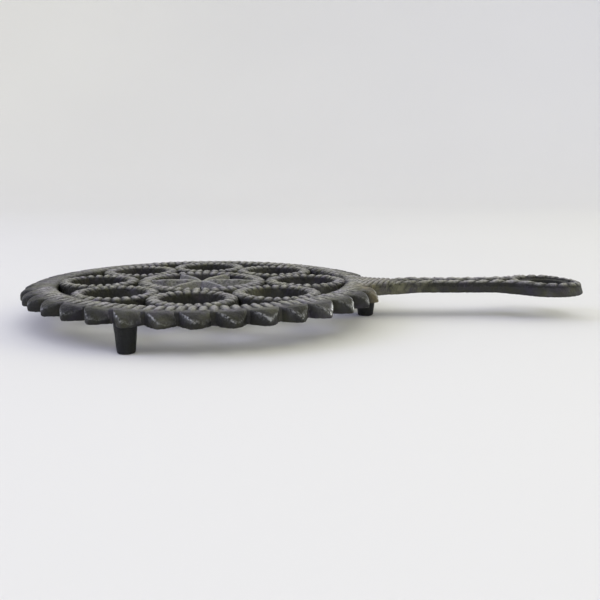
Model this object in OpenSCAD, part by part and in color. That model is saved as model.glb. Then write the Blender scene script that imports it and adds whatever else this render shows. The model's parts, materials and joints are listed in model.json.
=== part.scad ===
// Round cast-iron trivet with a rope rim, eight rope rings, a petal rosette,
// a fringe of teeth, three pegs and a handle that ends in a hanging loop.
// Millimetres. +X runs along the handle, +Z is up, and the pegs stand on z = 0.

/* [Disc] */
// Radius over the tips of the teeth
tip_radius = 92; // [91:0.5:94]
// Outer radius of the rope rim
rim_outer = 82.8; // [82:0.2:83.4]
// Width of the rope rim
rim_width = 8.2; // [7.8:0.2:8.6]
// Height of the underside above the table
underside = 12; // [9:0.5:16]
// Thickness of the casting below the rope mouldings
plate_thickness = 5.4; // [5:0.2:6]
// Height of the rope mouldings
rope_height = 1.9; // [1.2:0.1:2.2]

/* [Rings] */
// Width of the rope band of each small ring
ring_band = 6.4; // [5.4:0.2:7.2]
// Width of the rope band of the centre ring
centre_band = 8; // [7:0.2:8.6]
// Half the width of a petal at its middle
petal_half_width = 4.2; // [3.6:0.1:4.4]

/* [Teeth] */
// Number of teeth on each side of the handle
teeth_per_side = 17; // [15:1:18]
// Angle from the handle to the first tooth
first_tooth_angle = 18.8; // [18:0.2:20]
// Height of the blunt end of a tooth
tooth_end_height = 2.4; // [1.6:0.1:3.2]

/* [Handle] */
// Distance from the disc's centre to the far end of the handle
handle_reach = 193.6; // [188:0.4:200]
// Half the width of the handle's narrow part
handle_half_width = 7.3; // [6.8:0.1:8]
// Radius of the hanging loop at its top edge
loop_radius = 17.1; // [16.6:0.1:17.6]
// Radius of the hanging hole
hole_radius = 9.2; // [8:0.2:9.6]
// Width of the rope along each edge of the handle
handle_rope_width = 4.4; // [3.8:0.1:4.8]

/* [Feet] */
// Radius of a peg at its foot
peg_foot_radius = 3.95; // [3.5:0.05:4.2]
// Radius of a peg where it joins the casting
peg_top_radius = 5; // [4.5:0.1:5.2]
// Distance from the disc's centre to each peg
peg_circle = 85.2; // [84.6:0.2:86]
// How far the front and back pegs stand past the middle of a tooth, in degrees
peg_lead = 0.6; // [0:0.1:1.2]

/* [Hidden] */
$fn = 96;

ring_count = 8;
petal_count = 6;
plate_top = underside + plate_thickness;
rope_crest = plate_top + rope_height;
rim_inner = rim_outer - rim_width;
// Small rings touch the rim, the centre ring and each other
ring_step = 360 / ring_count;
ring_circle = rim_inner / (1 + sin(ring_step / 2));
ring_touch = ring_circle * sin(ring_step / 2);
ring_bite = 0.5;
ring_inner = ring_touch - ring_band;
centre_outer = ring_circle - ring_touch;
centre_inner = centre_outer - centre_band;

// The smooth pad opposite the handle, where the metal was poured
gate_angle = 180;
gate_half_angle = 12;
gate_drop = 0.4;

tooth_step = (360 - 2 * first_tooth_angle) / (2 * teeth_per_side - 1);
tooth_root_height = 0.6;
notch_radius = rim_outer + 1.6;
tooth_blunt = 0.9;
claw_flat = 1.2;

// The handle leaves the rim and joins its loop through tangent fillets
rim_fillet = 25;
loop_fillet = 25;
loop_flare = 1;
loop_x = handle_reach - loop_radius - loop_flare;
rim_fillet_y = handle_half_width + rim_fillet;
rim_fillet_x = sqrt(pow(rim_outer + rim_fillet, 2) - pow(rim_fillet_y, 2));
rim_fillet_turn = atan2(rim_fillet_x, rim_fillet_y);
loop_fillet_y = handle_half_width + loop_fillet;
loop_fillet_x = loop_x - sqrt(pow(loop_radius + loop_fillet, 2) - pow(loop_fillet_y, 2));
loop_fillet_turn = atan2(loop_x - loop_fillet_x, loop_fillet_y);
channel_drop = 0.4;
bar_top = plate_top - channel_drop;
handle_crest = rope_crest - 0.3;
bar_rise = 0.8;
loop_rope_radius = loop_radius - handle_rope_width / 2;

// Moves the disc's centre so that the whole part is centred on the origin
left_reach = tip_radius * cos(tooth_step / 2);
disc_x = (left_reach - handle_reach) / 2;
arc_steps = 12;
crown_steps = 10;

function polar(r, a) = [r * cos(a), r * sin(a)];

// Half ellipse from the outer foot of a rope moulding to its inner foot
function crown(inner, outer, z, height) =
  [for (i = [0:crown_steps])
    let (a = 180 * i / crown_steps)
    [(inner + outer) / 2 + (outer - inner) / 2 * cos(a), z + height * sin(a)]];

module rope_ring(inner, outer) {
  rotate_extrude()
    polygon(concat([[inner, underside], [outer, underside]],
                   crown(inner, outer, plate_top, rope_height)));
}

module on_disc() {
  translate([disc_x, 0, 0]) children();
}

// A slice of the disc between two radii, centred on an angle
module sector(r1, r2, middle, half, z1, z2) {
  rotate([0, 0, middle - half])
    rotate_extrude(angle = 2 * half)
      translate([r1, z1]) square([r2 - r1, z2 - z1]);
}

module rope_rim() {
  color("dimgray") on_disc() difference() {
    rope_ring(rim_inner, rim_outer);
    sector(rim_inner - 1, rim_outer + 1, gate_angle, gate_half_angle, plate_top, rope_crest + 1);
  }
}

module gate_pad() {
  color("gray") on_disc()
    rotate([0, 0, gate_angle - gate_half_angle])
      rotate_extrude(angle = 2 * gate_half_angle)
        polygon(crown(rim_inner, rim_outer, plate_top, rope_height - gate_drop));
}

// One side of the fringe: the claw profile cut to the zigzag outline
module claw_profile() {
  root = rim_outer;
  claw = tip_radius - root - claw_flat;
  rise = plate_thickness + tooth_root_height - tooth_end_height;
  arc = [for (i = [0:arc_steps / 2])
    let (a = 180 * i / arc_steps)
    [root + claw_flat + claw * cos(a), underside + tooth_end_height + rise * sin(a)]];
  polygon(concat([[root, underside], [tip_radius, underside]], arc,
                 [[root, underside + tooth_end_height + rise]]));
}

module tooth_outline(angle) {
  blunt = asin(tooth_blunt / 2 / tip_radius);
  polygon([
    polar(rim_outer - 2, angle - tooth_step / 2),
    polar(notch_radius, angle - tooth_step / 2),
    polar(tip_radius + 0.2, angle - blunt),
    polar(tip_radius + 0.2, angle + blunt),
    polar(notch_radius, angle + tooth_step / 2),
    polar(rim_outer - 2, angle + tooth_step / 2)
  ]);
}

module fringe(first, last) {
  difference() {
    intersection() {
      rotate_extrude() claw_profile();
      linear_extrude(height = rope_crest + 1)
        for (i = [first:last]) tooth_outline(first_tooth_angle + i * tooth_step);
    }
    handle_plan(underside - 1, rope_crest + 1, 0);
  }
}

module teeth_back_right() {
  color("dimgray") on_disc() fringe(0, 7);
}

module teeth_back_left() {
  color("dimgray") on_disc() fringe(8, teeth_per_side - 1);
}

module teeth_front_left() {
  color("dimgray") on_disc() mirror([0, 1, 0]) fringe(8, teeth_per_side - 1);
}

module teeth_front_right() {
  color("dimgray") on_disc() mirror([0, 1, 0]) fringe(0, 7);
}

// Each small ring is trimmed where it meets the rim, the centre ring and its neighbours
module small_ring(number) {
  angle = (number - 1) * ring_step;
  color("slategray") on_disc() intersection() {
    translate(polar(ring_circle, angle)) rope_ring(ring_inner, ring_touch + ring_bite);
    sector(centre_outer, rim_inner, angle, ring_step / 2, underside - 1, rope_crest + 1);
  }
}

module centre_ring() {
  color("slategray") on_disc() rope_ring(centre_inner, centre_outer);
}

// A petal is a pointed oval in plan, with two slopes that meet at a ridge
module petal(number) {
  middle = centre_inner / 2;
  reach = centre_inner / 2 + 2.2;
  bow = (reach * reach - petal_half_width * petal_half_width) / (2 * petal_half_width);
  slope = 2.4;
  color("darkgray") on_disc() rotate([0, 0, (number - 1) * 360 / petal_count]) intersection() {
    translate([middle, -bow, 0]) cylinder(r = bow + petal_half_width, h = rope_crest, $fn = 180);
    translate([middle, bow, 0]) cylinder(r = bow + petal_half_width, h = rope_crest, $fn = 180);
    sector(0, centre_inner, 0, 180 / petal_count, underside, rope_crest);
    rotate([90, 0, 90]) linear_extrude(height = centre_inner + 1) polygon([
      [-petal_half_width - 1, underside - 1], [petal_half_width + 1, underside - 1],
      [petal_half_width + 1, plate_top - slope], [0, rope_crest - 0.2],
      [-petal_half_width - 1, plate_top - slope]
    ]);
  }
}

// Half of the handle's outline, from the rim to the loop, moved in by an inset
function handle_edge(inset) = concat(
  [for (i = [0:arc_steps])
    let (a = -90 - rim_fillet_turn * (1 - i / arc_steps))
    [rim_fillet_x, rim_fillet_y] + polar(rim_fillet + inset, a)],
  [for (i = [0:arc_steps])
    let (a = -90 + loop_fillet_turn * i / arc_steps)
    [loop_fillet_x, loop_fillet_y] + polar(loop_fillet + inset, a)]
);

function mirrored(points) = [for (i = [len(points) - 1:-1:0]) [points[i][0], -points[i][1]]];

module handle_plan(z1, z2, inset) {
  edge = handle_edge(inset);
  translate([0, 0, z1]) linear_extrude(height = z2 - z1)
    polygon(concat([[rim_outer - 8, 0]], edge, [[loop_x, 0]], mirrored(edge)));
}

module rim_cutter() {
  cylinder(r = rim_outer, h = rope_crest + 1, $fn = 180);
}

module loop_body() {
  translate([loop_x, 0, underside])
    cylinder(r1 = loop_radius + loop_flare, r2 = loop_radius, h = plate_thickness);
}

module handle_bar() {
  color("dimgray") on_disc() difference() {
    intersection() {
      handle_plan(underside, bar_top, 0);
      rotate([90, 0, 0]) translate([0, 0, -60]) linear_extrude(height = 120) polygon([
        [rim_outer - 10, underside], [rim_outer + 18, underside],
        [rim_outer + 29, underside + bar_rise], [loop_x - 30, underside + bar_rise],
        [loop_x - 14, underside], [loop_x, underside],
        [loop_x, bar_top], [rim_outer - 10, bar_top]
      ]);
    }
    rim_cutter();
    loop_body();
  }
}

// The rope along one edge of the handle
module edge_rope() {
  outer = handle_edge(0);
  inner = handle_edge(handle_rope_width);
  color("slategray") difference() {
    translate([0, 0, bar_top]) linear_extrude(height = handle_crest - bar_top)
      polygon(concat(outer, [for (i = [len(inner) - 1:-1:0]) inner[i]]));
    rim_cutter();
    translate([loop_x, 0, 0]) cylinder(r = loop_radius, h = rope_crest + 1);
  }
}

module handle_rope_back() {
  on_disc() edge_rope();
}

module handle_rope_front() {
  on_disc() mirror([0, 1, 0]) edge_rope();
}

module hanging_loop() {
  color("dimgray") on_disc() difference() {
    loop_body();
    translate([loop_x, 0, 0]) cylinder(r = hole_radius, h = rope_crest + 1);
  }
}

module loop_rope() {
  color("slategray") on_disc() translate([loop_x, 0, 0]) rotate_extrude()
    polygon(crown(loop_radius - handle_rope_width, loop_radius, plate_top, rope_height));
}

module peg(angle) {
  color("darkslategray") on_disc() translate(polar(peg_circle, angle))
    cylinder(r1 = peg_foot_radius, r2 = peg_top_radius, h = underside);
}

peg_angle = first_tooth_angle + 9 * tooth_step + peg_lead;

rope_rim();
gate_pad();
teeth_front_right();
teeth_front_left();
teeth_back_left();
teeth_back_right();
for (k = [1:ring_count])
  small_ring(k);
centre_ring();
for (k = [1:petal_count])
  petal(k);
handle_bar();
handle_rope_front();
handle_rope_back();
hanging_loop();
loop_rope();
peg(0);  // peg_handle
peg(-peg_angle);  // peg_front
peg(peg_angle);  // peg_back
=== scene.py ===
"""Looks of the round cast-iron trivet: rope mouldings, claws, petals and old worn iron.

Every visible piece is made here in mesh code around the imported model. Lengths inside the
piece functions are millimetres from the disc's centre, with +X along the handle and +Z up.
"""

import json
import math

import bpy
import numpy as np
from mathutils import Matrix, Vector, noise


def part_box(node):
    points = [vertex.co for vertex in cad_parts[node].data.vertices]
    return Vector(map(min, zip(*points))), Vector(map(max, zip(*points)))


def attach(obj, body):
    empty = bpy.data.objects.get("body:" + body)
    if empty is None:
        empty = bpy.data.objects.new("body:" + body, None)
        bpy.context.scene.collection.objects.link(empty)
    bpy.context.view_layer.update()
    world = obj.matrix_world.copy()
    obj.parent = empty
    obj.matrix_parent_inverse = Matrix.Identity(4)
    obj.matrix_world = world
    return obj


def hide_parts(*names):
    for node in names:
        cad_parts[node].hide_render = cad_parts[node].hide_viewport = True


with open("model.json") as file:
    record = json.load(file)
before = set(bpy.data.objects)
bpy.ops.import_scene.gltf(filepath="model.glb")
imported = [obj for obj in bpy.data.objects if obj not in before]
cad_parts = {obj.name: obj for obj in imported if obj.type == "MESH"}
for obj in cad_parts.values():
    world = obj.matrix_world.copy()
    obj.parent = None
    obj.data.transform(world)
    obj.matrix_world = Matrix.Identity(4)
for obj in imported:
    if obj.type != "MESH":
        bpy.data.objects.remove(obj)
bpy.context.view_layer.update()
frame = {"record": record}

MM = 0.001
TAU = 2 * math.pi
BODY = "root"


# ---------------------------------------------------------------- sizes from the frame


def low(node, axis):
    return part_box(node)[0][axis] / MM


def high(node, axis):
    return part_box(node)[1][axis] / MM


X, Y, Z = 0, 1, 2
DISC_X = (low("centre_ring", X) + high("centre_ring", X)) / 2
UNDERSIDE = low("rope_rim", Z)
CREST = high("rope_rim", Z)
PLATE_TOP = high("hanging_loop", Z)
ROPE_HEIGHT = CREST - PLATE_TOP
RIM_OUTER = high("rope_rim", Y)
RIM_INNER = high("ring_1", X) - DISC_X
CENTRE_OUTER = (high("centre_ring", X) - low("centre_ring", X)) / 2
CENTRE_INNER = high("petal_1", X) - DISC_X
RING_CIRCLE = (high("ring_1", X) + low("ring_1", X)) / 2 - DISC_X
RING_OUTER = (high("ring_1", X) - low("ring_1", X)) / 2
LOOP_X = (low("loop_rope", X) + high("loop_rope", X)) / 2 - DISC_X
LOOP_TOP = (high("loop_rope", X) - low("loop_rope", X)) / 2
LOOP_BOTTOM = (high("hanging_loop", Y) - low("hanging_loop", Y)) / 2
HOLE = frame["record"]["mounts"][0]["dims"]["r_mm"]
BAR_TOP = high("handle_bar", Z)
HANDLE_CREST = high("handle_rope_back", Z)
PEG_TOP = (high("peg_handle", X) - low("peg_handle", X)) / 2

# Sizes that the boxes don't give
TIP = 92.0
RINGS = 8
PETALS = 6
RING_BAND = 6.4
GATE_HALF_ANGLE = math.radians(12)
FIRST_TOOTH = math.radians(18.8)
TEETH_PER_SIDE = 17
TOOTH_STEP = (TAU - 2 * FIRST_TOOTH) / (2 * TEETH_PER_SIDE - 1)
HANDLE_HALF_WIDTH = 7.3
FILLET = 25.0
HANDLE_ROPE = 4.4
PEG_FOOT = 3.95


# ---------------------------------------------------------------- mesh code


def noise_table(seed, size):
    return np.random.default_rng(seed).uniform(-1, 1, size)


def wave(values, seed, periods=(1, 2, 3, 5, 8), power=0.7):
    """Smooth seeded unevenness along an angle, from about -1 to 1."""
    values = np.asarray(values, float)
    rng = np.random.default_rng(seed)
    total = np.zeros_like(values)
    weight = 0
    for k in periods:
        size = k**-power
        total = total + size * np.sin(k * values + rng.uniform(0, TAU))
        weight += size
    return total / weight


ROUGH_LAYERS = ((0.55, 0.13), (1.4, 0.10))
PIT_SCALE = 0.8
PIT_START = 0.34
PIT_DEPTH = 0.5
PIT_PLACE = Vector((31, 7, 53))


def roughen(points, normals, amount):
    """Moves points along their normals by seeded noise, with small pits, like cast iron."""
    out = np.array(points, float)
    for i, (point, normal) in enumerate(zip(points, normals)):
        at = Vector(point)
        shift = sum(size * noise.noise(at * scale) for scale, size in ROUGH_LAYERS)
        pit = max(0.0, noise.noise(at * PIT_SCALE + PIT_PLACE) - PIT_START)
        out[i] += normal * (shift - PIT_DEPTH * pit) * amount
    return out


def add_mesh(name, points, faces, layers, rough):
    """A smooth-shaded object from points in millimetres in the disc's frame."""
    mesh = bpy.data.meshes.new(name)
    points = np.asarray(points, float).reshape(-1, 3)
    mesh.from_pydata(points.tolist(), [], faces)
    flip_outward(mesh)
    if rough:
        normals = np.empty(len(points) * 3)
        mesh.vertex_normals.foreach_get("vector", normals)
        points = roughen(points, normals.reshape(-1, 3), rough)
    placed = (points + [DISC_X, 0, 0]) * MM
    mesh.vertices.foreach_set("co", placed.ravel())
    mesh.validate()
    mesh.update()
    mesh.polygons.foreach_set("use_smooth", [True] * len(mesh.polygons))
    for layer, values in layers.items():
        attribute = mesh.attributes.new(layer, "FLOAT", "POINT")
        attribute.data.foreach_set("value", np.asarray(values, np.float32).ravel())
    piece = bpy.data.objects.new(name, mesh)
    bpy.context.scene.collection.objects.link(piece)
    return piece


def loft(name, sections, layers, closed, sharp=38, rough=1.0):
    """Skins closed profiles that follow one another. sections is (count, profile, xyz).

    Edges sharper than sharp degrees stay crisp, and rough scales the casting's roughness.
    """
    sections = np.asarray(sections, float)
    count, around = sections.shape[:2]
    faces = []
    for i in range(count if closed else count - 1):
        a, b = i * around, (i + 1) % count * around
        for j in range(around):
            k = (j + 1) % around
            faces.append((a + j, b + j, b + k, a + k))
    points = sections.reshape(-1, 3)
    values = {key: np.asarray(v, float).reshape(-1) for key, v in layers.items()}
    if not closed:
        for start, order in ((0, -1), ((count - 1) * around, 1)):
            hub = len(points)
            points = np.vstack([points, points[start : start + around].mean(0)])
            for key in values:
                values[key] = np.append(values[key], values[key][start : start + around].mean())
            for j in range(around):
                k = (j + 1) % around
                edge = (start + j, start + k) if order == 1 else (start + k, start + j)
                faces.append((edge[0], edge[1], hub))
    piece = add_mesh(name, points, faces, values, rough)
    piece.data.set_sharp_from_angle(angle=math.radians(sharp))
    return piece


def flip_outward(mesh):
    """Turns every face round if the closed skin is inside out."""
    mesh.calc_loop_triangles()
    co = np.empty(len(mesh.vertices) * 3)
    mesh.vertices.foreach_get("co", co)
    co = co.reshape(-1, 3)
    tri = np.array([t.vertices[:] for t in mesh.loop_triangles])
    a, b, c = co[tri[:, 0]], co[tri[:, 1]], co[tri[:, 2]]
    if np.einsum("ij,ij->i", a, np.cross(b, c)).sum() < 0:
        mesh.flip_normals()


def lump(phase, power):
    """One strand per unit of phase: 1 along its crest and 0 in the groove beside it."""
    across = np.abs(2 * (phase % 1) - 1)
    return np.sqrt(np.clip(1 - across**power, 0, 1))


def smooth(x, a, b):
    """0 at a and 1 at b, with an easy start and stop."""
    t = np.clip((x - a) / (b - a), 0, 1)
    return t * t * (3 - 2 * t)


def both_walls(offsets, heights):
    """A wall's offsets and heights down one side of a section and up the other."""
    return np.concatenate([offsets, -offsets[::-1]]), np.concatenate([heights, heights[::-1]])


# ---------------------------------------------------------------- rope rings

STRAND_STEPS = 14
CROWN_STEPS = 14
GROOVE_DEPTH = 1.5
GROOVE_BITE = 0.7
ROPE_ROUGH = 2.3
WORN_RELIEF = 0.64
# The bottom corners of a ring are rounded in two steps
CORNER = 0.7
CORNER_STEP = 0.25
# The strands fade out between these depths below the plate's top
FADE_START = 0.5
FADE_END = 1.2
FADE_WEIGHT = 0.35
CROWN_FULLNESS = 0.8
STRAND_FULLNESS = 1.8
STRAND_DRIFT = 0.12
STRAND_BEND = 0.05
STRAND_JITTER = 0.26
CREST_DROP = 0.12
CREST_SINK = 0.1
WORN_SINK = 0.45
CREST_WAVE = 0.12
WIDTH_WAVE = 0.16


def in_groove(crest):
    """1 deep in the groove between two strands and 0 on their crests."""
    return smooth(crest, 0.95, 0.3)


def rope_profile(inner, outer, crest_radius):
    """(radius, height, rope angle, weight of the strands) around a rope ring's section."""
    middle = (UNDERSIDE + PLATE_TOP) / 2
    rows = [
        (inner + CORNER, UNDERSIDE, math.pi, 0),
        (inner + CORNER_STEP, UNDERSIDE + CORNER_STEP, math.pi, 0),
        (inner, UNDERSIDE + CORNER, math.pi, 0),
        (inner, middle, math.pi, 0),
        (inner, PLATE_TOP - FADE_END, math.pi, 0),
        (inner, PLATE_TOP - FADE_START, math.pi, FADE_WEIGHT),
    ]
    for i in range(CROWN_STEPS + 1):
        angle = math.pi * (1 - i / CROWN_STEPS)
        half = outer - crest_radius if i > CROWN_STEPS / 2 else crest_radius - inner
        height = PLATE_TOP + ROPE_HEIGHT * math.sin(angle) ** CROWN_FULLNESS
        rows.append((crest_radius + half * math.cos(angle), height, angle, 1))
    rows += [
        (outer, PLATE_TOP - FADE_START, 0, FADE_WEIGHT),
        (outer, PLATE_TOP - FADE_END, 0, 0),
        (outer, middle, 0, 0),
        (outer, UNDERSIDE + CORNER, 0, 0),
        (outer - CORNER_STEP, UNDERSIDE + CORNER_STEP, 0, 0),
        (outer - CORNER, UNDERSIDE, 0, 0),
    ]
    return np.array(rows).T


def rope_ring(
    name,
    centre,
    inner,
    outer,
    strands,
    seed,
    flat=None,
    crest_radius=None,
    bite=GROOVE_BITE,
    hug=1.0,
):
    """A cast ring under a half-round rope. flat(angle) is 1 where the rope is worn away.

    bite is how far a groove cuts into the sides, and a small hug carries it further down them.
    """
    crest_radius = crest_radius or (inner + outer) / 2
    radius, height, slope, weight = rope_profile(inner, outer, crest_radius)
    count = strands * STRAND_STEPS
    angle = np.arange(count) / count * TAU
    jitter = noise_table(seed, (3, strands))
    which = np.floor(angle / TAU * strands).astype(int) % strands
    phase = angle / TAU * strands + STRAND_DRIFT * wave(angle, seed + 1, (2, 3, 5, 7))
    across = np.cos(slope)
    bend = STRAND_BEND * across[None, :]
    crest = lump(phase[:, None] + bend, STRAND_FULLNESS)
    size = 1 + STRAND_JITTER * jitter[0][which]
    worn = np.zeros(count) if flat is None else flat(angle)
    depth = (1 - crest) * size[:, None] * weight * (1 - worn)[:, None]
    drop = CREST_DROP * (1 + jitter[1][which]) * 0.5
    rise = np.sin(slope)
    flank = np.clip(rise, 0, 1) ** hug
    z = height - depth * GROOVE_DEPTH * flank - (drop[:, None] + CREST_SINK) * rise * weight
    z = z - WORN_SINK * worn[:, None] * rise * weight
    z = z + CREST_WAVE * wave(angle, seed + 2)[:, None] * rise
    r = radius - depth * bite * across
    wobble = WIDTH_WAVE * wave(angle, seed + 3, (2, 3, 4, 7, 11))[:, None]
    r = r + wobble * np.where(across > 0, 1, -1) * (np.abs(across) > 0.5)
    x = centre[0] + r * np.cos(angle)[:, None]
    y = centre[1] + r * np.sin(angle)[:, None]
    sections = np.stack([x, y, z + 0 * r], -1)
    sharp_part = (1 - worn)[:, None]
    # The crests and worn stretches are marked for a painted highlight that is partly rubbed wear,
    # the grooves between strands for soot and painted shade.
    layers = {
        "wear_and_highlight": (crest * sharp_part + WORN_RELIEF * worn[:, None]) * (rise * weight),
        "groove": in_groove(crest) * weight * smooth(flank, 0, 0.45) * sharp_part,
        "edge": np.zeros_like(r),
    }
    return loft(name, sections, layers, closed=True, rough=ROPE_ROUGH)


RIM_ROPE_INNER = RIM_INNER - 1.1
RIM_ROPE_OUTER = 85.4
RIM_ROPE_CREST = 78.0
RIM_STRANDS = 108
RIM_BITE = 1.3
RIM_HUG = 0.5
CENTRE_STRANDS = 42
RING_STRANDS = 26
RING_SWELL = 0.15

# Where the rim's strands are worn, in degrees anticlockwise from the handle
GATE_START = (160, 168)
GATE_END = (200, 191)
ARC_START = (112, 132)
ARC_END = (190, 170)
ARC_WEAR = 0.6


def gate_flat(angle):
    """Full wear at the pouring gate, and half-worn strands on the arc beside it."""
    turn = np.degrees(np.asarray(angle)) % 360
    gate = smooth(turn, *GATE_START) * smooth(turn, *GATE_END)
    arc = ARC_WEAR * smooth(turn, *ARC_START) * smooth(turn, *ARC_END)
    return np.maximum(gate, arc)


def build_rings():
    rim = rope_ring(
        "rim_rope",
        (0, 0),
        RIM_ROPE_INNER,
        RIM_ROPE_OUTER,
        RIM_STRANDS,
        seed=11,
        flat=gate_flat,
        crest_radius=RIM_ROPE_CREST,
        bite=RIM_BITE,
        hug=RIM_HUG,
    )
    finish_piece(rim, "rope_rim", "rope_iron")
    centre = rope_ring("rosette_rope", (0, 0), CENTRE_INNER, CENTRE_OUTER, CENTRE_STRANDS, seed=12)
    finish_piece(centre, "centre_ring", "rope_iron")
    inner, outer = RING_OUTER - RING_BAND, RING_OUTER + RING_SWELL
    for k in range(RINGS):
        angle = k * TAU / RINGS
        place = (RING_CIRCLE * math.cos(angle), RING_CIRCLE * math.sin(angle))
        seed = 20 + 4 * k
        ring = rope_ring(f"small_rope_{k + 1}", place, inner, outer, RING_STRANDS, seed)
        finish_piece(ring, f"ring_{k + 1}", "rope_iron")


GATE_STEPS = 40
GATE_ACROSS = 20
GATE_OVERHANG = 0.6
GATE_INSET = 0.25
# How far the worn pad stays below the ropes' crests, and how deep its skin starts and ends
GATE_WEAR = 0.75
GATE_SEAT = 0.2
GATE_FOOT = 1.2
GATE_END_RISE = 0.35
GATE_RELIEF = 0.5


def build_gate_pad():
    """The low smooth patch across the rim where the iron was poured."""
    along = np.linspace(-1, 1, GATE_STEPS)
    a = (math.pi + along * GATE_HALF_ANGLE)[:, None]
    t = np.linspace(0, math.pi, GATE_ACROSS)
    outer = RIM_ROPE_OUTER + GATE_OVERHANG
    middle, half = (RIM_INNER + outer) / 2, (outer - RIM_INNER) / 2 - GATE_INSET
    r = middle + half * np.cos(t)
    rise = np.sin(t) ** 0.6 * (ROPE_HEIGHT - GATE_WEAR)
    bumps = 0.12 * wave(a * 40 + t * 2, 71, (1, 2, 3)) + 0.1 * wave(a * 23 - t * 3, 72, (1, 2, 3))
    end = smooth(np.abs(along), 1.0, 0.72)[:, None]
    fade = GATE_END_RISE + (1 - GATE_END_RISE) * end
    z = PLATE_TOP - GATE_SEAT + (rise + bumps * np.sin(t)) * fade
    radii = np.concatenate([r, r[::-1]])
    heights = np.concatenate([z, np.full(z.shape, PLATE_TOP - GATE_FOOT)], 1)
    sections = np.stack([radii * np.cos(a), radii * np.sin(a), heights], -1)
    # The pad's top is marked paler: partly rubbed wear, partly a painted highlight.
    layers = {
        "wear_and_highlight": np.tile(np.concatenate([np.sin(t) * GATE_RELIEF, 0 * t]), (GATE_STEPS, 1)),
        "groove": np.zeros(heights.shape),
        "edge": np.zeros(heights.shape),
    }
    finish_piece(loft("pour_gate", sections, layers, closed=False), "gate_pad", "worn_iron")


# ---------------------------------------------------------------- teeth

TOOTH_COLUMNS = 26
TOOTH_ROWS = 18
TOOTH_SPLIT = 8
NOTCH = RIM_OUTER + 1.3
TOOTH_ROOT = RIM_OUTER - 1.5
TOOTH_TOP = PLATE_TOP + 0.9
TOOTH_SHELF = 0.6
TOOTH_POINT = 0.07
# Height of a tooth's end: by the handle, round the far side, and where an edge has worn round
TOOTH_END_SHARP = 1.2
TOOTH_END_BLUNT = 3.5
WORN_END = 1.4
BACK_BLUNTNESS = 0.3
# Seeded differences from tooth to tooth
TIP_JITTER = 0.9
LEAN_JITTER = 0.1
END_JITTER = 0.3
# The end wall of a tooth: shares of its height, and how far each level stands past the edge
WALL_SHARES = (0.82, 0.45, 0.12, 0)
WALL_OFFSETS = (0.1, 0.12, 0, -0.35)
END_DROP = 0.25
LEAST_WALL = 0.5
TIP_LIMIT = TIP + 0.1
# Below 1, the rows of a tooth crowd toward its end
ROW_SPACING = 0.65
CLAW_FULLNESS = 3.4
CLAW_FULLNESS_LOSS = 0.8
CLAW_POWER = 0.65
CLAW_POWER_GAIN = 0.1
# Tooth counts from the handle between which the teeth turn blunt
BLUNT_RANGE = (2.0, 7.5)
# Where one side of a tooth is worn round: across the tooth, and by angle from the handle
WORN_ACROSS = (0.3, -0.45)
WORN_ARC = (2.6, 1.9)
# The bright band along the end of a tooth, partly rubbed wear and partly a painted highlight, and
# how far out from the rim it starts
BRIGHT_BAND = 0.55
BRIGHT_BAND_SHARP = 1.0
BRIGHT_START = (RIM_OUTER + 2.2, RIM_OUTER + 7)
# Rows of a tooth's section that lie below its top
UNDER_ROWS = len(WALL_SHARES) + 2


def tooth_reach(t, tip):
    """Radius of the fringe at t across a tooth: 0 in its middle, 1 at the notch."""
    point = TOOTH_POINT
    run = (math.sqrt(t * t + point * point) - point) / (math.sqrt(1 + point * point) - point)
    bow = 0.5 * run + 0.5 * run * run
    return tip - (tip - NOTCH) * bow


def claw_height(r, tip, end, blunt):
    """The top of a tooth falls in a curve to an end that stands end above the underside.

    blunt is 0 for a tooth that falls away all along it and 1 for one with a full, square end.
    """
    run = np.clip((r - RIM_OUTER - TOOTH_SHELF) / (tip - RIM_OUTER - TOOTH_SHELF), 0, 1)
    rise = TOOTH_TOP - UNDERSIDE - end
    fullness = CLAW_FULLNESS - CLAW_FULLNESS_LOSS * blunt
    power = CLAW_POWER + CLAW_POWER_GAIN * blunt
    return UNDERSIDE + end + rise * np.clip(1 - run**fullness, 0, 1) ** power


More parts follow.
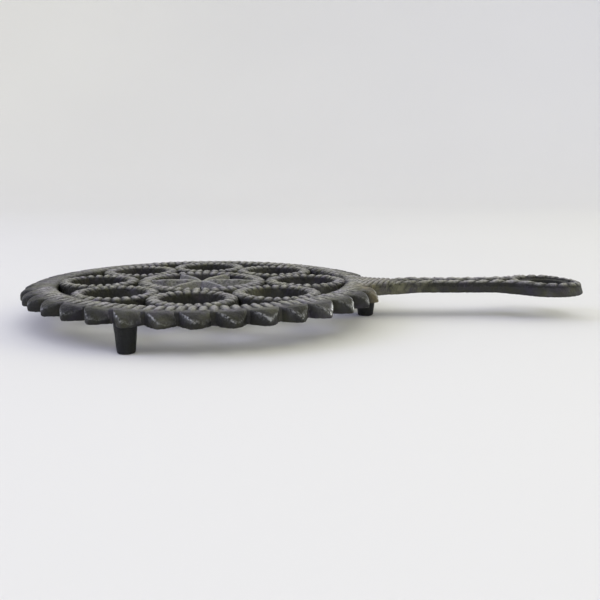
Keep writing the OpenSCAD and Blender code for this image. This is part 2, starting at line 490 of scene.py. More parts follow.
def fringe(name, first, last, side, seed):
    """Teeth first to last on one side of the handle, as one skin.

    side is 1 for the back and -1 for the front. The teeth grow blunter away from the handle.
    """
    rng = np.random.default_rng(seed)
    columns = []
    for i in range(first, last + 1):
        tip = TIP - rng.uniform(0.0, TIP_JITTER)
        lean = rng.uniform(-LEAN_JITTER, LEAN_JITTER)
        blunt = float(smooth(i, *BLUNT_RANGE)) * (1 if side < 0 else BACK_BLUNTNESS)
        end = TOOTH_END_SHARP + (TOOTH_END_BLUNT - TOOTH_END_SHARP) * blunt
        end += rng.uniform(-END_JITTER, END_JITTER)
        for c in range(TOOTH_COLUMNS):
            t = 2 * c / TOOTH_COLUMNS - 1
            columns.append((FIRST_TOOTH + (i + t / 2) * TOOTH_STEP, t, tip, lean, end, blunt))
    columns.append((FIRST_TOOTH + (last + 0.5) * TOOTH_STEP, 1.0, TIP, 0, end, blunt))
    shine = rng.uniform(0.35, 1.0, last - first + 1)
    sections, edges, reliefs = [], [], []
    for angle, t, tip, lean, end, blunt in columns:
        skew = t + lean * (1 - t * t)
        reach = tooth_reach(abs(skew), tip)
        u = np.linspace(0, 1, TOOTH_ROWS) ** ROW_SPACING
        r = TOOTH_ROOT + (reach - TOOTH_ROOT) * u
        worn_side = float(smooth(t, *WORN_ACROSS)) * float(smooth(angle, *WORN_ARC)) * blunt
        local_tip = tip + (reach - tip) * worn_side
        z = claw_height(r, local_tip, end + (WORN_END - end) * worn_side, blunt)
        z[-1] -= END_DROP
        foot = max(z[-1] - UNDERSIDE, LEAST_WALL)
        wall_z = [UNDERSIDE + foot * f for f in WALL_SHARES]
        wall_r = [reach + offset for offset in WALL_OFFSETS]
        profile_r = np.concatenate([r, wall_r, [(reach + TOOTH_ROOT) / 2, TOOTH_ROOT]])
        profile_z = np.concatenate([z, wall_z, [UNDERSIDE, UNDERSIDE]])
        profile_r = np.minimum(profile_r, TIP_LIMIT)
        a = side * angle
        x, y = profile_r * math.cos(a), profile_r * math.sin(a)
        sections.append(np.stack([x, y, profile_z], -1))
        # The bright band along a tooth's end is partly rubbed wear and partly a painted highlight,
        # put on the side of each tooth chosen to catch the light.
        band_start = reach - BRIGHT_BAND - BRIGHT_BAND_SHARP * (1 - blunt)
        near_edge = smooth(r, band_start, reach - 0.1)
        outward = smooth(r, *BRIGHT_START)
        far_side, near_side = float(smooth(t, -0.3, 0.3)), float(smooth(t, 0.3, -0.1))
        bright_side = blunt * far_side + (1 - blunt) * near_side
        shown = shine[len(edges) // TOOTH_COLUMNS % len(shine)]
        shown = shown * (0.15 + 0.85 * bright_side) * (1.35 - 0.35 * blunt)
        on_wall = [0.2 * outward[-1], 0.03, 0, 0, 0, 0]
        edges.append(np.concatenate([near_edge * outward, on_wall]) * shown)
        # Painted highlight on the tooth's top, paler next to the rope.
        top_relief = 0.2 + 0.3 * smooth(r, RIM_OUTER + 4.5, RIM_OUTER + 2.0)
        reliefs.append(np.concatenate([top_relief, np.zeros(UNDER_ROWS)]))
    layers = {"edge": edges, "wear_and_highlight": reliefs, "groove": np.zeros_like(edges)}
    return loft(name, sections, layers, closed=False, sharp=30)


def build_teeth():
    for side_name, side in (("back", 1), ("front", -1)):
        right = fringe(f"claws_{side_name}_right", 0, TOOTH_SPLIT - 1, side, 31 + side)
        finish_piece(right, f"teeth_{side_name}_right", "worn_iron")
        left = fringe(f"claws_{side_name}_left", TOOTH_SPLIT, TEETH_PER_SIDE - 1, side, 41 + side)
        finish_piece(left, f"teeth_{side_name}_left", "worn_iron")


# ---------------------------------------------------------------- rosette

PETAL_HALF_WIDTH = 4.2
PETAL_ALONG = 46
PETAL_ACROSS = 15
PETAL_REACH = CENTRE_INNER + 0.8
# How far the outline's arcs run past the petal's two ends
PETAL_RUN_OUT = 2.2
PETAL_SLOPE = 0.95
RIDGE_RADIUS = 0.22
RIDGE_SHINE = 0.55
# The side walls: shares of the half-width and of the height, from the top down
PETAL_WALL = np.array([0.98, 1.0, 1.0, 0.9])
PETAL_WALL_HEIGHTS = np.array([0.75, 0.4, 0.1, 0.0])


def build_petals():
    for k in range(PETALS):
        finish_piece(petal(k), f"petal_{k + 1}", "worn_iron")


def petal(k):
    """A pointed leaf whose two slopes meet at a rounded, arched ridge."""
    x = np.linspace(0.0, PETAL_REACH, PETAL_ALONG)
    middle = CENTRE_INNER / 2
    half_length = CENTRE_INNER / 2 + PETAL_RUN_OUT
    bow = (half_length**2 - PETAL_HALF_WIDTH**2) / (2 * PETAL_HALF_WIDTH)
    outline = np.sqrt((bow + PETAL_HALF_WIDTH) ** 2 - (x - middle) ** 2) - bow
    half = np.maximum(outline, 0.3) * (1 + 0.03 * wave(x / 4, 80 + k))
    v = np.linspace(-1, 1, PETAL_ACROSS)
    v = np.sign(v) * np.abs(v) ** 1.5
    y = half[:, None] * v[None, :]
    u = x / CENTRE_INNER
    arch = CREST - 0.8 * smooth(u, 0.3, 0.0) - 0.45 * smooth(u, 0.7, 1.0)
    fall = PETAL_SLOPE * (np.sqrt(y * y + RIDGE_RADIUS**2) - RIDGE_RADIUS)
    z = arch[:, None] - 0.1 - fall - 0.12 * smooth(np.abs(v), 0.9, 1.0)
    z = z + 0.05 * wave(x[:, None] + 2 * y, 90 + k)
    wall_y, drop = both_walls(PETAL_WALL, PETAL_WALL_HEIGHTS)
    wall_z = UNDERSIDE + (z[:, -1:] - UNDERSIDE) * drop[None, :]
    ys = np.concatenate([y, half[:, None] * wall_y[None, :]], 1)
    zs = np.concatenate([z, wall_z], 1)
    xs = np.tile(x[:, None], (1, ys.shape[1]))
    c, s = math.cos(k * TAU / PETALS), math.sin(k * TAU / PETALS)
    sections = np.stack([xs * c - ys * s, xs * s + ys * c, zs], -1)
    on_walls = np.zeros(len(wall_y))
    # A painted highlight along the ridge and over the slopes; bright specks on the outline, partly
    # wear and partly a painted glint.
    ridge = np.exp(-((y / RIDGE_SHINE) ** 2))
    wear_and_highlight = np.concatenate([0.55 + 0.7 * ridge, np.tile(on_walls, (PETAL_ALONG, 1))], 1)
    edge = np.concatenate([smooth(np.abs(v), 0.8, 1.0) * 0.4, on_walls])
    layers = {
        "wear_and_highlight": wear_and_highlight,
        "groove": np.zeros(wear_and_highlight.shape),
        "edge": np.tile(edge, (PETAL_ALONG, 1)),
    }
    return loft(f"leaf_{k + 1}", sections, layers, closed=False)


# ---------------------------------------------------------------- handle

RIM_FILLET_Y = HANDLE_HALF_WIDTH + FILLET
RIM_FILLET_X = math.sqrt((RIM_OUTER + FILLET) ** 2 - RIM_FILLET_Y**2)
LOOP_FILLET_X = LOOP_X - math.sqrt((LOOP_TOP + FILLET) ** 2 - RIM_FILLET_Y**2)
FLARE_END = 104.0
BAR_START = 79.2
BAR_MIDDLE = 112.0
BAR_END = LOOP_X - 11
BAR_ACROSS = 41
BAR_ARCH = 0.8
# The strands that run over the flare
FLARE_PITCH = 2.6
FLARE_SLANT = 0.45
FLARE_BASE = 0.3
FLARE_RISE = 1.6
BAR_WALL = np.array([1.004, 1.016, 1.022, 0.99, 0.93])
BAR_WALL_HEIGHTS = np.array([0.85, 0.4, 0.14, 0.03, 0.0])
BAR_WALL_DENTS = np.array([1, 1, 1, 0, 0])
BAR_DENT = 0.12


def handle_half(x):
    """Half the handle's width at x, through its two fillets."""
    x = np.asarray(x, float)
    near = RIM_FILLET_Y - np.sqrt(np.clip(FILLET**2 - (RIM_FILLET_X - x) ** 2, 0, None))
    far = RIM_FILLET_Y - np.sqrt(np.clip(FILLET**2 - (x - LOOP_FILLET_X) ** 2, 0, None))
    return np.where(x < RIM_FILLET_X, near, np.where(x > LOOP_FILLET_X, far, HANDLE_HALF_WIDTH))


def handle_bottom(x):
    """The bar's underside, which is arched a little between the rim and the loop."""
    return UNDERSIDE + BAR_ARCH * smooth(x, 100, 112) * smooth(x, LOOP_X - 13, LOOP_X - 30)


def build_handle_bar():
    """The bar: plain walls, a sunk channel, and slanted strands over the flare."""
    flared = np.linspace(BAR_START, BAR_MIDDLE, 170)
    plain = np.linspace(BAR_MIDDLE + 0.6, BAR_END, 80)
    x = np.concatenate([flared, plain])
    v = np.linspace(-1, 1, BAR_ACROSS)
    half = handle_half(x) * (1 + 0.01 * wave(x / 9, 101))
    y = half[:, None] * v[None, :]
    xx = np.tile(x[:, None], (1, BAR_ACROSS))
    flare = smooth(xx, FLARE_END + 6, FLARE_END - 9)
    phase = (xx - FLARE_SLANT * y) / FLARE_PITCH + 0.12 * wave(y / 5, 102)
    crest = lump(phase, 2.0)
    shoulder = np.sqrt(np.clip(1 - np.abs(v[None, :]) ** 6, 0, 1))
    z = BAR_TOP + flare * (FLARE_BASE + FLARE_RISE * crest) * shoulder
    z = z + 0.14 * wave(xx / 2.2 + y, 103) * (1 - flare)
    bottom = handle_bottom(x)
    wall, drop = both_walls(BAR_WALL, BAR_WALL_HEIGHTS)
    dented = np.concatenate([BAR_WALL_DENTS, -BAR_WALL_DENTS[::-1]])
    dent = BAR_DENT * wave(x / 3.1, 104)[:, None] * dented
    wall_y = half[:, None] * wall[None, :] + dent
    wall_z = bottom[:, None] + (z[:, -1] - bottom)[:, None] * drop[None, :]
    ys = np.concatenate([y, wall_y], 1)
    zs = np.concatenate([z, wall_z], 1)
    xs = np.tile(x[:, None], (1, ys.shape[1]))
    sections = np.stack([xs, ys, zs], -1)
    pad = np.zeros(wall_y.shape)
    # Painted highlight on the flare's strand crests; soot and painted shade between them and, more
    # lightly, along the plain bar's sunk channel.
    layers = {
        "wear_and_highlight": np.concatenate([flare * crest * shoulder, pad], 1),
        "groove": np.concatenate([flare * smooth(crest, 0.85, 0.2) + 0.35 * (1 - flare), pad], 1),
        "edge": np.zeros(ys.shape),
    }
    finish_piece(loft("grip", sections, layers, closed=False), "handle_bar", "cast_iron")


def edge_path():
    """Centre line of the rope along the +Y edge of the handle, from the rim to the loop."""
    inset = HANDLE_ROPE / 2
    radius = FILLET + inset
    turn_in = math.atan2(RIM_FILLET_X, RIM_FILLET_Y) + 0.04
    turn_out = math.atan2(LOOP_X - LOOP_FILLET_X, RIM_FILLET_Y) + 0.05
    near = [
        (RIM_FILLET_X + radius * math.sin(-a), RIM_FILLET_Y - radius * math.cos(a))
        for a in np.linspace(turn_in, 0, 60)
    ]
    between = np.linspace(RIM_FILLET_X, LOOP_FILLET_X, 90)[1:-1]
    straight = [(x, HANDLE_HALF_WIDTH - inset) for x in between]
    far = [
        (LOOP_FILLET_X + radius * math.sin(a), RIM_FILLET_Y - radius * math.cos(a))
        for a in np.linspace(0, turn_out, 50)
    ]
    return np.array(near + straight + far)


def even(path, step):
    """The path resampled at even steps: the distance along it, and its points."""
    run = np.concatenate([[0], np.cumsum(np.linalg.norm(np.diff(path, axis=0), axis=1))])
    s = np.arange(0, run[-1], step)
    return s, np.stack([np.interp(s, run, path[:, 0]), np.interp(s, run, path[:, 1])], -1)


EDGE_STEP = 0.45
EDGE_ACROSS = 15
EDGE_SWELL = 0.35
EDGE_PITCH = 7.2
EDGE_PITCH_DROP = 1.6
EDGE_TWIST = 0.42
EDGE_FULLNESS = 2.3
EDGE_DEPTH = 1.15
# Share of a handle or loop rope's height and half-width that a full groove takes away
CUT_HEIGHT = 0.62
CUT_WIDTH = 0.2
EDGE_RELIEF = 1.15
EDGE_SEAT = 1.0
EDGE_OVERHANG = 0.12


def edge_rope(name, side, seed):
    """The rope along one edge of the handle: side is 1 for the back and -1 for the front."""
    s, line = even(edge_path(), EDGE_STEP)
    way = np.gradient(line, axis=0)
    way = way / np.linalg.norm(way, axis=1)[:, None]
    out = np.stack([-way[:, 1], way[:, 0]], -1)
    t = np.linspace(0, math.pi, EDGE_ACROSS)
    half = HANDLE_ROPE / 2 + EDGE_SWELL
    pitch = EDGE_PITCH - EDGE_PITCH_DROP * smooth(line[:, 0], 108, 92)
    turns = np.concatenate([[0], np.cumsum(np.diff(s) / pitch[1:])])
    offset = np.cos(t)
    drift = 0.05 * wave(s / 9, seed)[:, None]
    phase = turns[:, None] + side * 0.3 + EDGE_TWIST * offset[None, :] + drift
    crest = lump(phase, EDGE_FULLNESS)
    swell = 1 + 0.06 * wave(s / 6, seed + 1)[:, None]
    depth = (1 - crest) * EDGE_DEPTH
    reach = half * offset[None, :] * (swell - CUT_WIDTH * depth)
    top = HANDLE_CREST - 2.2 * smooth(line[:, 0], 104, 92) + 0.1 * smooth(line[:, 0], 146, 158)
    height = (top - BAR_TOP)[:, None]
    z = BAR_TOP + height * np.sin(t)[None, :] ** 0.75 * (1 - CUT_HEIGHT * depth) * swell
    z[:, 0] = BAR_TOP - EDGE_SEAT
    z[:, -1] = BAR_TOP - EDGE_SEAT
    x = line[:, :1] + out[:, :1] * reach
    y = line[:, 1:] + out[:, 1:] * reach
    limit = handle_half(np.clip(x, 79, BAR_END)) + EDGE_OVERHANG
    y = np.minimum(y, limit)
    sections = np.stack([x, y * side, z], -1)
    rise = np.sin(t)[None, :]
    # Painted highlight on the strands' crests, soot and painted shade in the grooves.
    layers = {
        "wear_and_highlight": EDGE_RELIEF * crest * rise,
        "groove": in_groove(crest) * (0.4 + 0.6 * rise),
        "edge": np.zeros(z.shape),
    }
    return loft(name, sections, layers, closed=False, rough=ROPE_ROUGH)


def build_handle():
    build_handle_bar()
    finish_piece(edge_rope("grip_rope_back", 1, 111), "handle_rope_back", "rope_iron")
    finish_piece(edge_rope("grip_rope_front", -1, 121), "handle_rope_front", "rope_iron")
    build_loop()


# ---------------------------------------------------------------- hanging loop

LOOP_AROUND = 200
LOOP_STRANDS = 17
LOOP_STRAND_STEPS = 16
LOOP_SEED = 141
LOOP_TWIST = 0.22
LOOP_FULLNESS = 2.2
LOOP_JITTER = 0.35
LOOP_ROUGH = 1.9


def build_loop():
    """The eye: a flat ring that flares toward its foot, with a hole to hang it by."""
    angle = np.arange(LOOP_AROUND) / LOOP_AROUND * TAU
    lip = LOOP_TOP - HANDLE_ROPE - 0.3
    top = PLATE_TOP - 0.35
    rows = [
        (HOLE, top - 1.0),
        (HOLE + 0.15, top - 0.35),
        (HOLE + 0.7, top),
        (lip, top + 0.05),
        (LOOP_TOP - 0.9, top + 0.2),
        (LOOP_TOP - 0.2, top - 0.1),
        (LOOP_TOP + 0.1, top - 1.2),
        (LOOP_TOP + 0.5, UNDERSIDE + 2.4),
        (LOOP_BOTTOM - 0.05, UNDERSIDE + 0.9),
        (LOOP_BOTTOM - 0.25, UNDERSIDE + 0.3),
        (LOOP_BOTTOM - 0.9, UNDERSIDE),
        (HOLE + 0.8, UNDERSIDE),
        (HOLE + 0.15, UNDERSIDE + 0.4),
        (HOLE, UNDERSIDE + 1.2),
    ]
    r, z = np.array(rows).T
    outer = (r > (HOLE + LOOP_TOP) / 2).astype(float)
    r = r[None, :] + 0.14 * wave(angle, 131, (2, 3, 5, 7, 9))[:, None] * (0.4 + 0.6 * outer)
    tip = smooth(np.cos(angle), 0.35, 1.0)[:, None]
    z = z[None, :] - 0.9 * tip * smooth(z, PLATE_TOP - 2.5, PLATE_TOP)[None, :] * outer
    x = LOOP_X + r * np.cos(angle)[:, None]
    y = r * np.sin(angle)[:, None]
    sections = np.stack([x, y, z + 0 * r], -1)
    zero = np.zeros(r.shape)
    # Painted shade on the wall inside the hole, and a faint painted highlight on the top.
    in_hole = zero + (r < HOLE + 1.2)
    layers = {"wear_and_highlight": zero + 0.1 * (z > top - 0.6), "groove": 0.8 * in_hole, "edge": zero}
    finish_piece(loft("eye", sections, layers, closed=True), "hanging_loop", "cast_iron")
    finish_piece(loop_rope(), "loop_rope", "rope_iron")


def loop_rope():
    """The rope moulding around the top of the eye, which is worn lower at its far end."""
    strands = LOOP_STRANDS
    count = strands * LOOP_STRAND_STEPS
    angle = np.arange(count) / count * TAU
    inner, outer = LOOP_TOP - HANDLE_ROPE, LOOP_TOP + 0.1
    middle, half = (inner + outer) / 2, (outer - inner) / 2
    t = np.linspace(math.pi, 0, 15)
    which = np.floor(angle / TAU * strands).astype(int) % strands
    jitter = noise_table(LOOP_SEED, strands)[which]
    drift = 0.12 * wave(angle, LOOP_SEED, (2, 3, 5))[:, None]
    phase = angle[:, None] / TAU * strands + LOOP_TWIST * np.cos(t)[None, :] + drift
    crest = lump(phase, LOOP_FULLNESS)
    depth = (1 - crest) * (1 + LOOP_JITTER * jitter)[:, None]
    tip = smooth(np.cos(angle), 0.3, 1.0)[:, None]
    r = middle + half * np.cos(t)[None, :] * (1 - CUT_WIDTH * depth)
    height = (ROPE_HEIGHT - 0.05) * np.sin(t)[None, :] ** 0.75 * (1 - CUT_HEIGHT * depth)
    z = PLATE_TOP - 0.5 + height
    z = z - 1.0 * tip * (0.4 + 0.6 * smooth(r, inner, outer))
    base = np.stack([np.full(count, outer - 0.3), np.full(count, inner + 0.3)], -1)
    rs = np.concatenate([r, base], 1)
    zs = np.concatenate([z, np.full((count, 2), PLATE_TOP - 1.9)], 1)
    x = LOOP_X + rs * np.cos(angle)[:, None]
    y = rs * np.sin(angle)[:, None]
    pad = np.zeros((count, 2))
    rise = np.sin(t)[None, :]
    # Painted highlight on the strands' crests, soot and painted shade in the grooves.
    layers = {
        "wear_and_highlight": np.concatenate([crest * rise, pad], 1),
        "groove": np.concatenate([in_groove(crest) * (0.4 + 0.6 * rise), pad], 1),
        "edge": np.zeros(rs.shape),
    }
    return loft("eye_rope", np.stack([x, y, zs], -1), layers, closed=True, rough=LOOP_ROUGH)


# ---------------------------------------------------------------- pegs

PEG_AROUND = 48
# (height, radius) up the rounded foot
PEG_FOOT_ROWS = (
    (0.1, PEG_FOOT - 1.3),
    (0.2, PEG_FOOT - 0.6),
    (0.5, PEG_FOOT - 0.12),
    (1.1, PEG_FOOT),
)
PEG_RIPPLE = 0.08


def build_pegs():
    for name, node, seed in (
        ("foot_handle", "peg_handle", 151),
        ("foot_front", "peg_front", 152),
        ("foot_back", "peg_back", 153),
    ):
        centre = ((low(node, X) + high(node, X)) / 2 - DISC_X, (low(node, Y) + high(node, Y)) / 2)
        finish_piece(peg(name, centre, seed), node, "peg_iron")


def peg(name, centre, seed):
    """A short tapered peg with a softly rounded foot."""
    turn = np.arange(PEG_AROUND) / PEG_AROUND * TAU
    rows = list(PEG_FOOT_ROWS)
    for f in (0.25, 0.4, 0.55, 0.7, 0.85, 1.0):
        rows.append((f * UNDERSIDE, PEG_FOOT + (PEG_TOP - PEG_FOOT) * f))
    rows.append((UNDERSIDE + 1.5, PEG_TOP))
    sections = []
    for z, r in rows:
        radius = r + PEG_RIPPLE * wave(turn + z * 0.2, seed, (2, 3, 5))
        x = centre[0] + radius * np.cos(turn)
        y = centre[1] + radius * np.sin(turn)
        sections.append(np.stack([x, y, np.full(PEG_AROUND, z)], -1))
    zero = np.zeros((len(rows), PEG_AROUND))
    layers = {"wear_and_highlight": zero, "groove": zero, "edge": zero}
    return loft(name, sections, layers, closed=False)


# ---------------------------------------------------------------- materials

COLOURS = {
    # slot: (dark metal, paler metal for the painted highlight on raised parts, roughness)
    "cast_iron": ((0.028, 0.028, 0.027), (0.350, 0.338, 0.342), 0.50),
    "rope_iron": ((0.017, 0.017, 0.016), (0.350, 0.346, 0.334), 0.50),
    "worn_iron": ((0.012, 0.012, 0.012), (0.290, 0.289, 0.282), 0.46),
    "peg_iron": ((0.008, 0.009, 0.009), (0.022, 0.023, 0.022), 0.48),
}
RUST = (0.13, 0.095, 0.055)
PLAIN = (1.0, 1.0, 1.0)
OLIVE = (1.20, 1.24, 0.66)
VIOLET = (1.15, 1.02, 1.55)
OCHRE = (0.22, 0.18, 0.095)
MOSS = (0.165, 0.163, 0.105)
BRIGHT = (0.72, 0.74, 0.78)
# Near-black for soot and painted shade in grooves, hollows and pits
SOOT_AND_SHADE = (0.008, 0.008, 0.007)

# How strongly the tints, the rust, the pits and the bright edges show; the bright edges are partly
# wear and partly a painted glint
TINT_DARK = 0.85
TINT_LIT = 0.24
RUST_SHARE = 0.22
PIT_SHARE = 0.7
SPECK_SHARE = 0.9
CREST_POWER = 1.9
ROUGHNESS_BELOW = 0.1
ROUGHNESS_ABOVE = 0.14
SPECK_GLOSS = 0.15
BUMP_STRENGTH = 0.8
BUMP_DISTANCE = 0.0007
IRON_IOR = 1.5
IRON_SPECULAR = 0.24

# Stains at the root of the handle: (middle, radius, colour)
STAINS = (
    (((DISC_X + 103) * MM, -0.009, 0.015), 0.020, MOSS),
    (((DISC_X + 85) * MM, -0.023, 0.016), 0.014, OCHRE),
)


class Nodes:
    """Short names for the node-tree calls that every material here makes."""

    def __init__(self, owner):
        owner.use_nodes = True
        self.tree = owner.node_tree
        self.tree.nodes.clear()

    def add(self, kind, **settings):
        node = self.tree.nodes.new(kind)
        for key, value in settings.items():
            setattr(node, key, value)
        return node

    def link(self, source, target):
        self.tree.links.new(source, target)

    def noise(self, coordinates, scale, detail=4, roughness=0.55, distortion=0.0):
        node = self.add("ShaderNodeTexNoise")
        node.inputs["Scale"].default_value = scale
        node.inputs["Detail"].default_value = detail
        node.inputs["Roughness"].default_value = roughness
        node.inputs["Distortion"].default_value = distortion
        self.link(coordinates, node.inputs["Vector"])
        return node.outputs["Fac"]

    def span(self, value, a, b, low_value=0.0, high_value=1.0):
        node = self.add("ShaderNodeMapRange", clamp=True)
        node.inputs["From Min"].default_value = a
        node.inputs["From Max"].default_value = b
        node.inputs["To Min"].default_value = low_value
        node.inputs["To Max"].default_value = high_value
        self.link(value, node.inputs["Value"])
        return node.outputs["Result"]

    def math(self, operation, a, b):
        node = self.add("ShaderNodeMath", operation=operation, use_clamp=False)
        for socket, value in zip(node.inputs, (a, b)):
            if isinstance(value, (int, float)):
                socket.default_value = value
            else:
                self.link(value, socket)
        return node.outputs[0]

    def mix(self, factor, a, b, blend="MIX"):
        node = self.add("ShaderNodeMix", data_type="RGBA", blend_type=blend)
        for socket, value in ((node.inputs[0], factor), (node.inputs[6], a), (node.inputs[7], b)):
            if isinstance(value, tuple):
                socket.default_value = (*value, 1)
            elif isinstance(value, (int, float)):
                socket.default_value = value
            else:
                self.link(value, socket)
        return node.outputs[2]

    def attribute(self, name):
        node = self.add("ShaderNodeAttribute", attribute_name=name, attribute_type="GEOMETRY")
        return node.outputs["Fac"]


def iron(slot):
    """Old cast iron: dark below, paler on raised parts with a painted highlight that is partly
    rubbed wear, and darkened in the grooves with soot and painted shade.
    """
    dark, lit, roughness = COLOURS[slot]
    material = bpy.data.materials.new(slot)
    n = Nodes(material)
    place = n.add("ShaderNodeTexCoord").outputs["Object"]
    wear_and_highlight, groove, edge = (n.attribute(k) for k in ("wear_and_highlight", "groove", "edge"))
    broad = n.noise(place, 55, 3)
    patch = n.noise(place, 190, 5, 0.6, 0.6)
    grain = n.noise(place, 900, 4, 0.65)
    pits = n.noise(place, 2300, 2, 0.6)

    # Raised parts are paled toward the lit colour: a painted highlight, partly rubbed wear.
    lift = n.math("POWER", wear_and_highlight, CREST_POWER)
    lift = n.math("MULTIPLY", lift, n.span(patch, 0.25, 0.7, 0.6, 1.3))
    lift = n.math("MULTIPLY", lift, n.span(grain, 0.36, 0.64, 0.35, 1.5))
    lift = n.math("ADD", lift, n.span(broad, 0.35, 0.7, -0.08, 0.12))
    colour = n.mix(n.span(lift, 0.0, 1.0), dark, lit)
    bloom = n.noise(place, 130, 3, 0.55, 0.3)
    tint = n.mix(n.span(bloom, 0.48, 0.66), PLAIN, OLIVE)
    tint = n.mix(n.span(bloom, 0.46, 0.32), tint, VIOLET)
    colour = n.mix(n.span(lift, 0.0, 0.4, TINT_DARK, TINT_LIT), colour, tint, "MULTIPLY")
    rust_noise = n.noise(place, 75, 4, 0.6, 0.4)
    colour = n.mix(n.span(rust_noise, 0.62, 0.8, 0.0, RUST_SHARE), colour, RUST)
    if slot != "peg_iron":
        for middle, radius, stain_colour in STAINS:
            stain = n.add("ShaderNodeVectorMath", operation="DISTANCE")
            n.link(place, stain.inputs[0])
            stain.inputs[1].default_value = middle
            near = n.span(stain.outputs["Value"], radius, radius * 0.3)
            near = n.math("MULTIPLY", near, n.span(patch, 0.4, 0.6, 0.1, 0.75))
            colour = n.mix(near, colour, stain_colour)
    # Grooves, the eye's hole and pits are darkened toward near-black: partly soot, partly painted
    # shade.
    soot_shade_mask = n.math("MULTIPLY", groove, n.span(patch, 0.3, 0.6, 0.75, 0.95))
    colour = n.mix(soot_shade_mask, colour, SOOT_AND_SHADE)
    colour = n.mix(n.span(pits, 0.34, 0.2, 0.0, PIT_SHARE), colour, SOOT_AND_SHADE)
    # Bright specks along the marked edges: partly rubbed wear, partly a painted glint.
    worn_glint = n.math("MULTIPLY", edge, n.span(grain, 0.42, 0.6))
    colour = n.mix(n.math("MULTIPLY", worn_glint, SPECK_SHARE), colour, BRIGHT)

    rough_low, rough_high = roughness - ROUGHNESS_BELOW, roughness + ROUGHNESS_ABOVE
    rough = n.span(grain, 0.3, 0.7, rough_low, rough_high)
    rough = n.math("SUBTRACT", rough, n.math("MULTIPLY", worn_glint, SPECK_GLOSS))

    skin = n.math("ADD", n.math("MULTIPLY", grain, 0.7), n.math("MULTIPLY", pits, 0.3))
    bump = n.add("ShaderNodeBump")
    bump.inputs["Strength"].default_value = BUMP_STRENGTH
    bump.inputs["Distance"].default_value = BUMP_DISTANCE
    n.link(skin, bump.inputs["Height"])

    shader = n.add("ShaderNodeBsdfPrincipled")
    shader.inputs["Metallic"].default_value = 0.0
    shader.inputs["IOR"].default_value = IRON_IOR
    shader.inputs["Specular IOR Level"].default_value = IRON_SPECULAR
    n.link(colour, shader.inputs["Base Color"])
    n.link(rough, shader.inputs["Roughness"])
    n.link(bump.outputs["Normal"], shader.inputs["Normal"])
    output = n.add("ShaderNodeOutputMaterial")
    n.link(shader.outputs[0], output.inputs["Surface"])
    return material


MATERIALS = {slot: iron(slot) for slot in COLOURS}


def finish_piece(piece, node, slot):
    """Gives the piece its iron, hangs it on the body and hides the model part that it stands for.
    """
    piece.data.materials.append(MATERIALS[slot])
    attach(piece, BODY)
    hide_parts(node)


# ---------------------------------------------------------------- floor, light and camera


PAPER_DARK = (0.755, 0.755, 0.76)
PAPER_LIGHT = (0.785, 0.785, 0.785)
PAPER_ROUGHNESS = 0.9
PAPER_SPECULAR = 0.1
FLOOR_AROUND = 96
FLOOR_FLAT = 1.1
FLOOR_BEND = 1.0
FLOOR_HUB = 0.02
BEND_STEPS = 12


def pale_paper():
    material = bpy.data.materials.new("pale_paper")
    n = Nodes(material)
    place = n.add("ShaderNodeTexCoord").outputs["Object"]
    cloud = n.noise(place, 1.3, 2)
    shader = n.add("ShaderNodeBsdfPrincipled")
    tone = n.mix(n.span(cloud, 0.3, 0.7), PAPER_DARK, PAPER_LIGHT)
    n.link(tone, shader.inputs["Base Color"])
    shader.inputs["Roughness"].default_value = PAPER_ROUGHNESS
    shader.inputs["Specular IOR Level"].default_value = PAPER_SPECULAR
    output = n.add("ShaderNodeOutputMaterial")
    n.link(shader.outputs[0], output.inputs["Surface"])
    return material


def build_floor():
    """A flat round floor whose far edge curves up all the way round, like a seamless sweep."""
    around = FLOOR_AROUND
    rows = [(FLOOR_HUB, 0.0), (FLOOR_FLAT * 0.5, 0.0), (FLOOR_FLAT, 0.0)]
    for i in range(1, BEND_STEPS + 1):
        a = i / BEND_STEPS * math.pi / 2
        rows.append((FLOOR_FLAT + FLOOR_BEND * math.sin(a), FLOOR_BEND * (1 - math.cos(a))))
    points, faces = [(0, 0, 0)], []
    for r, z in rows:
        for j in range(around):
            a = j / around * TAU
            points.append((r * math.cos(a), r * math.sin(a), z))
    for j in range(around):
        faces.append((0, 1 + j, 1 + (j + 1) % around))
    for i in range(len(rows) - 1):
        for j in range(around):
            a, b = 1 + i * around + j, 1 + i * around + (j + 1) % around
            faces.append((a, a + around, b + around, b))
    mesh = bpy.data.meshes.new("floor")
    mesh.from_pydata(points, [], faces)
    mesh.polygons.foreach_set("use_smooth", [True] * len(mesh.polygons))
    mesh.materials.append(pale_paper())
    floor = bpy.data.objects.new("floor", mesh)
    bpy.context.scene.collection.objects.link(floor)


def area_light(name, place, target, size, power, colour):
    light = bpy.data.lights.new(name, "AREA")
    light.shape = "RECTANGLE"
    light.size, light.size_y = size
    light.energy = power
    light.color = colour
    lamp = bpy.data.objects.new(name, light)
    lamp.location = place
    lamp.rotation_euler = (Vector(target) - Vector(place)).to_track_quat("-Z", "Y").to_euler()
    bpy.context.scene.collection.objects.link(lamp)


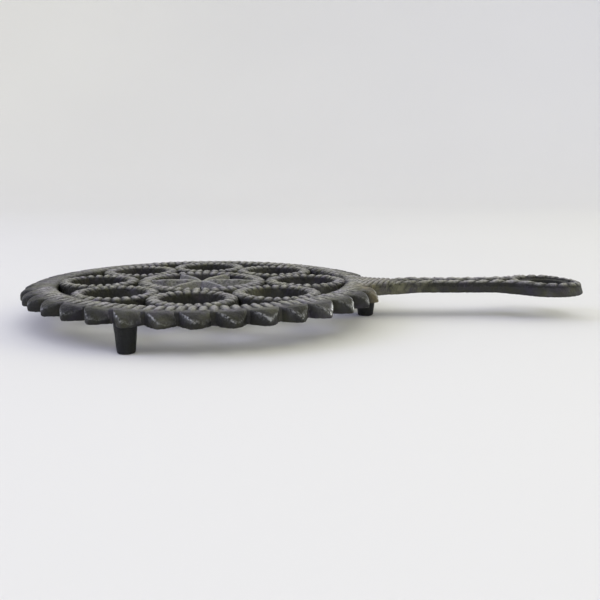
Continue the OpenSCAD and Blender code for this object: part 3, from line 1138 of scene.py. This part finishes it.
# name: (place, target, size, power in watts, colour)
LIGHTS = {
    "overhead": ((0.6, -0.9, 1.45), (0, 0, 0), (1.1, 0.95), 4.3, (0.985, 0.99, 1.0)),
    "left_fill": ((-1.4, -0.2, 0.9), (0, 0, 0.05), (0.9, 0.9), 7.0, (0.56, 0.56, 1.0)),
    "right_fill": ((1.5, -0.1, 0.8), (0, 0, 0.05), (0.9, 0.9), 5.2, (1.0, 0.97, 0.44)),
}
SKY_LEFT = (0.82, 0.83, 1.0)
SKY_RIGHT = (1.0, 0.985, 0.80)
SKY_STRENGTH = 0.94


def build_lights():
    for name, settings in LIGHTS.items():
        area_light(name, *settings)
    world = bpy.data.worlds.new("studio")
    world.use_nodes = True
    n = Nodes(world)
    way = n.add("ShaderNodeSeparateXYZ")
    n.link(n.add("ShaderNodeTexCoord").outputs["Generated"], way.inputs[0])
    tint = n.mix(n.span(way.outputs["X"], -0.9, 0.9), SKY_LEFT, SKY_RIGHT)
    background = n.add("ShaderNodeBackground")
    n.link(tint, background.inputs["Color"])
    background.inputs["Strength"].default_value = SKY_STRENGTH
    n.link(background.outputs[0], n.add("ShaderNodeOutputWorld").inputs["Surface"])
    bpy.context.scene.world = world


# The camera stands in front of the disc, turned by VIEW_TURN about its centre. CAMERA_AT is in
# tip radii, and FOCAL_SHARE is the focal length in picture widths.
VIEW_TURN = math.radians(2.7)
CAMERA_AT = (0.1454, -4.0697, 0.8004)
CAMERA_RISE = math.radians(10.725)
CAMERA_ROLL = math.radians(0.606)
FOCAL_SHARE = 724.34 / 600
SENSOR = 36.0
SHIFT = (0.1205, 0.0165)


def build_camera():
    data = bpy.data.cameras.new("camera")
    data.sensor_width = SENSOR
    data.lens = FOCAL_SHARE * SENSOR
    data.shift_x, data.shift_y = SHIFT
    data.clip_start = 0.01
    camera = bpy.data.objects.new("camera", data)
    turn = Matrix.Rotation(VIEW_TURN, 4, "Z")
    at = turn @ Vector(CAMERA_AT) * TIP * MM + Vector((DISC_X * MM, 0, 0))
    look = Matrix.Rotation(math.pi / 2 - CAMERA_RISE, 4, "X")
    roll = Matrix.Rotation(-CAMERA_ROLL, 4, "Z")
    camera.matrix_world = Matrix.Translation(at) @ turn @ look @ roll
    bpy.context.scene.collection.objects.link(camera)
    bpy.context.scene.camera = camera


build_rings()
build_gate_pad()
build_teeth()
build_petals()
build_handle()
build_pegs()
build_floor()
build_lights()
build_camera()
bpy.context.scene.view_settings.view_transform = "Standard"
